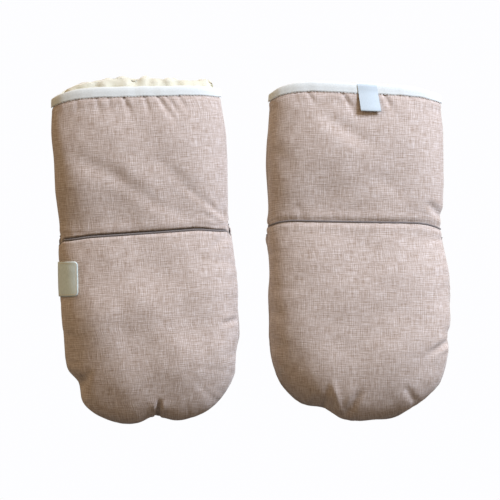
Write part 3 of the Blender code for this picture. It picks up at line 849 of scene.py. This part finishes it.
def cuff_front_cloth(muff):
    """The cuff's front: it rolls in above the slot and its folded hem goes down behind the pouch's edge."""
    turn = columns(FRONT, CLOTH_STEP)
    start = hem_start(muff, turn)
    even_end, roll_top = 0.006, 0.0052
    roll = between(start, roll_top, heights(1, 0, 0.1))
    level = np.concatenate([every_point(heights(PANEL_TOP, even_end, CLOTH_STEP), turn), roll])
    cuff = cuff_points(muff, turn, level, 0)
    out = relief(muff, "front", cuff, level)
    face = hem_face(turn)
    foot = hem_height(muff, turn, 1)
    hem = [closure_points(turn, hem_height(muff, turn, share), face) for share in (0.25, 0.5, 0.75, 0.95)]
    fold = ((0.0003, 0.0004), (-0.0004, 0.0010), (0.0002, 0.0016), (0.006, 0.0017))
    hem += [closure_points(turn, foot + lift, face + inset) for lift, inset in fold]
    grid = np.concatenate([raised(cuff, out * smooth((level - start) / HEM_ROLL)), *hem])
    return cloth_piece(muff, "cuff_front", "cuff", grid)


def pouch_front_cloth(muff):
    """The pouch's front: its top edge is folded over to the inside, less deep at the sides."""
    turn = columns(FRONT, CLOTH_STEP)
    top = edge_height(muff, turn)
    grid, levels = pouch_rows(muff, turn, top - 0.0006, 0, CLOTH_STEP)
    out = relief(muff, "front", grid, levels)
    shaped = pointed(raised(grid, out * smooth((top - levels) / EDGE_CALM_REACH)))
    fold = ((-FOLD_OVER, 0.0022), (-0.006, 0.0022), (-0.0012, 0.0021), (-0.0003, 0.0016), (0, 0.0010),
            (-0.0001, 0.0004))
    reach = 0.12 + 0.88 * front_middle(turn)
    over = [closure_points(turn, dipped(turn, top) + lift * reach, inset) for lift, inset in fold]
    return cloth_piece(muff, "pouch_front", "pouch", np.concatenate([*over, shaped]))


def pouch_facing(muff):
    """The cloth facing behind the pouch's front edge, which carries the hook tape."""
    turn = columns(FRONT, WOOL_STEP)
    top = edge_height(muff, turn) - 0.0004
    rows = heights(0, 1, 0.15)
    side_foot, front_foot = -TUCK - 0.004, -TUCK - 0.006
    side = pouch_points(muff, turn, between(top, side_foot, rows), FACING_FACE)
    edge = dipped(turn, top)
    front = closure_points(turn, between(edge, front_foot, rows), FACING_FACE - 0.0002)
    inner = between(side, front, smooth(frontness(turn) / 0.6)[..., None])
    faces = grid_faces(inner, inward=True)
    stand_in(muff, add_piece(muff, "pouch_facing", inner, faces, "linen", flat_places(inner)), "pouch")


def woolly(muff, grid):
    """The wool's curly face: the grid's points move in and out over short waves."""
    rng = np.random.default_rng(muff["seed"] + 5)
    total = np.zeros_like(grid[..., 0])
    for count, shortest, longest, height in WOOL_CURLS:
        for _ in range(count):
            heading = rng.normal(size=3)
            heading = heading / np.linalg.norm(heading) * math.tau / rng.uniform(shortest, longest)
            wave = np.sin(grid @ heading + rng.uniform(0, math.tau))
            total += wave * height / math.sqrt(count) * CURL_GAIN
    return raised(grid, -total)


def fleece_rise(muff, turn):
    """How far the wool stands over the binding around the mouth."""
    x = oval(turn, MOUTH_HALF_WIDTH, MOUTH_HALF_DEPTH)[0]
    rise = every_point(muff["fleece_rise"], x)
    for place, width, height in muff["fleece_humps"]:
        rise += height * MM * hump(x - place * MM, width * MM)
    return rise


def wool_rim(muff, turn):
    """The wool's rows from inside the binding up over the rim and into the mouth."""
    low = BINDING_FOOT + RIM_WOOL_START
    high = CUFF_LENGTH + fleece_rise(muff, turn)
    rows = []
    for bend in math.pi * np.linspace(0, 1, 9):
        inset = between(RIM_WOOL_FACE, WOOL_FACE, (1 - math.cos(bend)) / 2)
        rows.append(cuff_points(muff, turn, between(low, high, math.sin(bend)), inset))
    return rows


def lining_piece(muff, part, grid, stands_for):
    """The wool of one part of the muff, in the place of a lining."""
    shaped = woolly(muff, grid)
    if np.ptp(grid[-1], axis=0).max() < WELD_REACH:
        shaped = pointed(shaped)
    faces = grid_faces(grid, inward=True)
    made = add_piece(muff, f"{part}_lining", shaped, faces, "lambskin")
    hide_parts(f"{muff['name']}_{stands_for}_lining")
    return made


def back_lining(muff):
    """The wool of the back, from the rim to the fingertips, with a strip that closes each end of the slot."""
    turn = columns(BACK, WOOL_STEP)
    cuff = cuff_points(muff, turn, heights(BINDING_FOOT, 0, WOOL_STEP)[:-1], WOOL_FACE)
    pouch = pouch_rows(muff, turn, 0, WOOL_FACE, WOOL_STEP)[0]
    grid = np.concatenate([*wool_rim(muff, turn), cuff, pouch])
    z = grid[:, :1, 2]
    least, more, low, high, fade = 0.0004, 0.0060, -0.034, 0.018, 0.012
    reach = least + more * smooth((z - low) / fade) * smooth((high - z) / fade)
    reach[-1] = 0
    strip = stack(reach, 0, 0)
    grid = np.concatenate([grid[:, :1] + strip, grid, grid[:, -1:] - strip], axis=1)
    back_seam_blend(lining_piece(muff, "back", grid, "cuff"))


def cuff_front_lining(muff):
    """The wool of the cuff's front, down to its hem inside the pouch."""
    turn = columns(FRONT, WOOL_STEP)
    cuff = cuff_points(muff, turn, heights(BINDING_FOOT, 0.0003, WOOL_STEP), WOOL_FACE)
    face = hem_face(turn)
    foot = hem_height(muff, turn, 1)
    inner = face + WOOL_FACE
    skin, lift = 0.002, 0.0025
    hem = [closure_points(turn, hem_height(muff, turn, share), inner) for share in (0.3, 0.6, 0.85)]
    for bend in math.pi / 2 * np.array((0.1, 0.4, 0.75, 1)):
        inset = face + between(skin, WOOL_FACE, math.cos(bend))
        hem.append(closure_points(turn, foot + lift - lift * math.sin(bend), inset))
    grid = np.concatenate([*wool_rim(muff, turn), cuff, *hem])
    stand_in(muff, lining_piece(muff, "cuff_front", grid, "cuff"), "cuff")


def pouch_front_lining(muff):
    """The wool of the pouch's front, from under the facing to the fingertips."""
    turn = columns(FRONT, WOOL_STEP)
    upper = []
    for near_lift, far_lift, inset in ((0.004, 0.003, 0.0034), (0.005, 0.005, 0.006)):
        near = closure_points(turn, -TUCK - near_lift, inset)
        far = pouch_points(muff, turn, edge_height(muff, turn) - far_lift, inset)
        upper.append(between(far, near, bay(turn)[..., None]))
    pouch = pouch_rows(muff, turn, -TUCK - 0.009, WOOL_FACE, WOOL_STEP)[0]
    stand_in(muff, lining_piece(muff, "pouch_front", np.concatenate([*upper, pouch]), "pouch"), "pouch")


def binding_band(muff):
    """The white tape folded over the mouth, slightly gathered."""
    turn = columns(ALL_ROUND, CLOTH_STEP)[:, :-1]
    rng = np.random.default_rng(muff["seed"] + 3)
    low, high = BINDING_FOOT, CUFF_LENGTH
    profile = ((0.0006, low + 0.0003), (-0.0001, low - 0.0001), (-0.0007, low + 0.0004),
               (-0.0006, low + 0.0012), (-0.0005, low + 0.0040), (-0.0002, high - 0.0018),
               (0.0006, high - 0.0006), (0.0026, high), (0.0048, high - 0.0004), (0.0060, high - 0.0014),
               (0.0066, high - 0.004), (0.0064, low), (0.0054, low))
    place = flat_places(cuff_points(muff, turn, high, 0))[..., 0]
    ripple = rolling(rng, place, np.zeros_like(place), *BINDING_RIPPLES)
    wave = rolling(rng, place, np.zeros_like(place), *BINDING_WAVES)
    grid = np.concatenate([cuff_points(muff, turn, z + wave, inset - ripple * smooth((high - z) / 0.004))
                           for inset, z in profile])
    faces = grid_faces(grid, closed=True, inward=True)
    flat = stack(place, np.arange(len(profile))[:, None] * 0.0016, 0)
    made = add_piece(muff, "binding_band", grid, faces, "binding", flat)
    stand_in(muff, made, "cuff", "mouth_binding", "mouth_elastic")
    return grid


def unit(vectors):
    """Vectors made one long."""
    return vectors / np.linalg.norm(vectors, axis=-1, keepdims=True)


def piping(muff, name, points, node):
    """A cord in folded cloth that lies along an edge of the pouch, with rounded ends."""
    count, sides = len(points), 12
    ends = np.minimum(np.arange(count), np.arange(count)[::-1])
    radius = CORD_RADIUS * (0.6 + 0.4 * smooth(ends / 3))
    ahead = unit(np.gradient(points, axis=0))
    side = unit(np.cross(ahead, (0, 0, 1)))
    up = np.cross(side, ahead)
    angle = np.linspace(0, math.tau, sides, endpoint=False)[None, :, None]
    ring = np.cos(angle) * side[:, None] + np.sin(angle) * up[:, None]
    rings = points[:, None] + radius[:, None, None] * ring
    first = list(range(sides))
    caps = [first, [(count - 1) * sides + k for k in reversed(first)]]
    faces = grid_faces(rings, closed=True, inward=True) + caps
    flat = stack(angle[..., 0] * np.mean(radius), lengths_along(points)[:, None], 0)
    stand_in(muff, add_piece(muff, name, rings, faces, "piping", flat, weld=False), "pouch", node)


def slot_cord(muff):
    """The piping of the pouch's front edge."""
    turn = columns(FRONT, CLOTH_STEP)
    edge = edge_height(muff, turn)
    width, depth = pouch_section(edge)
    inset = CORD_INSET + CORD_SIDE_INSET * (1 - front_middle(turn))
    x, y = oval(turn, width - inset, depth - inset)
    piping(muff, "slot_cord", stack(x, y, dipped(turn, edge) + CORD_RADIUS * 0.8)[0], "slot_piping")


def back_cord(muff):
    """The piping in the back seam."""
    turn = columns(BACK, CLOTH_STEP)
    x, y = oval(turn, EDGE_HALF_WIDTH - 0.0016, SEAM_HALF_DEPTH - 0.0008)
    piping(muff, "back_cord", stack(x, y, dipped(turn, 0))[0], "back_piping")


def stitches(path, out):
    """Points and faces of stitches along a path, each a small bead of thread. out is away from the cloth."""
    walked = lengths_along(path)
    middle = (np.arange(int(walked[-1] / STITCH_PITCH)) + 0.5) * STITCH_PITCH

    def along(place, values):
        """The values of the path at a place of each stitch, apart from its rings and sides."""
        return np.stack([np.interp(place, walked, column) for column in values.T], axis=-1)[:, None, None]

    start, end = (along(middle + reach, path) for reach in (-STITCH_LENGTH / 2, STITCH_LENGTH / 2))
    ahead = unit(end - start)
    normal = along(middle, out)
    share, thick = np.array(THREAD_PROFILE).T[..., None, None]
    angle = math.tau * np.arange(THREAD_SIDES)[:, None] / THREAD_SIDES
    ring = np.cos(angle) * np.cross(ahead, normal) + np.sin(angle) * normal
    points = (start + end) / 2 + ahead * share * STITCH_LENGTH + THREAD_RADIUS * thick * ring
    first = list(range(THREAD_SIDES))
    total = len(THREAD_PROFILE) * THREAD_SIDES
    bead = [face[3:] + face[:3] for face in grid_faces(points[0], closed=True, inward=True)]
    bead += [first[::-1], [total - THREAD_SIDES + k for k in first]]
    return points, [[base * total + k for k in face] for base in range(len(points)) for face in bead]


def binding_stitches(muff, band):
    """The row of white stitches along the binding's foot."""
    path = np.concatenate([band[3], band[3][:1]])
    out = unit(path * (1, 1, 0))
    points, faces = stitches(path + out * 0.0001 - (0, 0, 0.0014), out)
    made = add_piece(muff, "binding_stitches", points, faces, "binding", finish="thread", weld=False)
    stand_in(muff, made, "cuff")


def seated(grid, points, direction, lift):
    """Points moved along a direction until they lie on a cloth's grid, and then off it by lift."""
    tree = BVHTree.FromPolygons(grid.reshape(-1, 3).tolist(), grid_faces(grid))
    moved = []
    for point in points:
        hit = tree.ray_cast(Vector(point) - direction * RAY_START, direction)[0]
        moved.append((hit if hit else Vector(point)) - direction * lift)
    return moved


def side_label(muff, grid):
    """The bare tab caught in the side seam of the pouch's front, with rounded free corners."""
    width, height, top, corner, thickness = 0.0185, 0.0325, -0.0285, 0.004, 0.0007
    run = np.concatenate([np.linspace(0, 0.75, 16), np.linspace(0.78, 1, 10)])[:, None] * width
    share = np.linspace(-1, 1, 25)
    short = np.maximum(0, run - (width - corner))
    half = height / 2 - corner + np.sqrt(np.maximum(0, corner**2 - short**2))
    z = top - height / 2 - share * half
    turn = math.tau - np.arccos(-((1 - run / POUCH_HALF_WIDTH) ** (SECTION_POWER / 2)))
    points = pouch_points(muff, turn, z, 0)
    edge = np.minimum(np.minimum(width - run, half * (1 - np.abs(share))), run + 0.004)
    slant = Vector((0.55, 1, 0)).normalized()
    outer, inner = (seated(grid, points.reshape(-1, 3), slant, lift) for lift in (0.0004 + thickness, 0.0002))
    faces = grid_faces(z)
    faces += [[z.size + k for k in reversed(face)] for face in faces]
    index = np.arange(z.size).reshape(z.shape)
    loop = np.concatenate([index[:, 0], index[-1, 1:], index[-2::-1, -1], index[0, -2:0:-1]]).tolist()
    pairs = zip(loop, loop[1:] + loop[:1])
    faces += [[second, first, z.size + first, z.size + second] for first, second in pairs]
    flat = [stack(run, z, edge)] * 2
    made = add_piece(muff, "bare_side_label", outer + inner, faces, "label", flat, weld=False)
    stand_in(muff, made, "pouch", "side_label")


def care_label(muff):
    """The bare folded ribbon that hangs from the binding's top, a little askew."""
    width, place, lean, bulge, count = 0.0178, -0.0105, 0.14, 0.0004, 11
    route = ((0.1268, 0.0002), (0.1262, -0.0006), (0.1245, -0.0010), (0.1215, -0.0012), (0.1190, -0.0016),
             (0.1155, -0.0022), (0.1110, -0.0024), (0.1065, -0.0027), (0.1036, -0.0030), (0.1024, -0.0029),
             (0.1018, -0.0025), (0.1022, -0.0019), (0.1050, -0.0013), (0.111, -0.0009), (0.1185, -0.0006))
    bow = bulge * np.cos(np.linspace(-1, 1, count) * math.pi / 2)
    rows = []
    for z, inset in route:
        x = np.linspace(0.5, -0.5, count) * width + place - (CUFF_LENGTH - z) * lean
        turn = np.arccos(np.sign(x) * (np.abs(x) / CUFF_HALF_WIDTH) ** (SECTION_POWER / 2))
        rows.append(cuff_points(muff, turn[None], z, inset - bow[None])[0])
    grid = np.array(rows)
    made = add_piece(muff, "bare_care_label", grid, grid_faces(grid), "ribbon", flat_places(grid))
    stand_in(muff, made, "cuff", "care_label")


def dress_tapes(muff):
    """The tapes keep the part's own solids, with a finish of hooks and loops."""
    for name in ("hook_tape", "loop_tape"):
        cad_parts[f"{muff['name']}_{name}"].material_slots[0].material = MATERIALS["tape"]


def build_muff(muff):
    """All pieces of one muff."""
    cloths = {
        "back": back_cloth(muff),
        "cuff_front": cuff_front_cloth(muff),
        "pouch_front": pouch_front_cloth(muff),
    }
    pouch_facing(muff)
    back_lining(muff)
    cuff_front_lining(muff)
    pouch_front_lining(muff)
    band = binding_band(muff)
    slot_cord(muff)
    back_cord(muff)
    binding_stitches(muff, band)
    dress_tapes(muff)
    if muff is RIGHT:
        care_label(muff)
    else:
        side_label(muff, cloths["pouch_front"][1])


def add_camera():
    """A long lens from straight ahead and a little above."""
    elevation = math.radians(CAMERA_ELEVATION)
    data = bpy.data.cameras.new("camera")
    data.lens = CAMERA_LENS
    data.sensor_width = 36
    made = add_object("camera", data)
    back = Vector((0, -math.cos(elevation), math.sin(elevation)))
    made.location = Vector(CAMERA_TARGET) + CAMERA_DISTANCE * back
    made.rotation_euler = (math.pi / 2 - elevation, 0, 0)
    bpy.context.scene.camera = made


def area_light(name, place, size, power, colour):
    """A round light that shines on the middle of the part."""
    data = bpy.data.lights.new(name, "AREA")
    data.shape = "DISK"
    data.size = size
    data.energy = power
    data.color = colour
    made = add_object(name, data)
    made.location = place
    made.rotation_euler = (Vector(LIGHT_TARGET) - Vector(place)).to_track_quat("-Z", "Y").to_euler()


def seen_white(owner, output, shader, white):
    """Lets the camera see plain white in the place of a world's or a material's shader."""
    add = node_maker(owner)
    seen = add("LightPath").outputs["Is Camera Ray"]
    plain = add(white, {"Color": BACKDROP_WHITE, "Strength": 1.0})
    mix = add("MixShader", {0: seen, 1: shader.outputs[0], 2: plain.outputs[0]})
    owner.node_tree.links.new(mix.outputs[0], owner.node_tree.nodes[output].inputs["Surface"])


def add_world():
    """A warm surround."""
    world = bpy.data.worlds.new("studio")
    world.use_nodes = True
    warm = world.node_tree.nodes["Background"]
    set_inputs(warm, {"Color": (1.0, 0.74, 0.47, 1), "Strength": 0.73})
    seen_white(world, "World Output", warm, "Background")
    bpy.context.scene.world = world


def add_floor():
    """A dim floor under the part."""
    half, low = 20.0, -0.45
    mesh = bpy.data.meshes.new("floor")
    corners = [(-half, -half, low), (half, -half, low), (half, half, low), (-half, half, low)]
    mesh.from_pydata(corners, [], [(0, 1, 2, 3)])
    pale = new_material("pale_floor", 0.9)[0]
    shader = pale.node_tree.nodes["Principled BSDF"]
    set_inputs(shader, {"Base Color": (0.10, 0.09, 0.08, 1)})
    seen_white(pale, "Material Output", shader, "Emission")
    mesh.materials.append(pale)
    add_object("floor", mesh)


def add_studio():
    """A white backdrop, a cool light from the right and above, another behind, and a warm surround."""
    bpy.context.scene.view_settings.view_transform = "Standard"
    area_light("key", (1.55, -1.25, 1.5), 0.85, 104, (0.675, 0.78, 0.97))
    area_light("back", (1.2, 2.6, 0.8), 1.2, 55, (0.80, 0.88, 1.0))
    add_world()
    add_floor()


add_camera()
add_studio()
build_muff(LEFT)
build_muff(RIGHT)
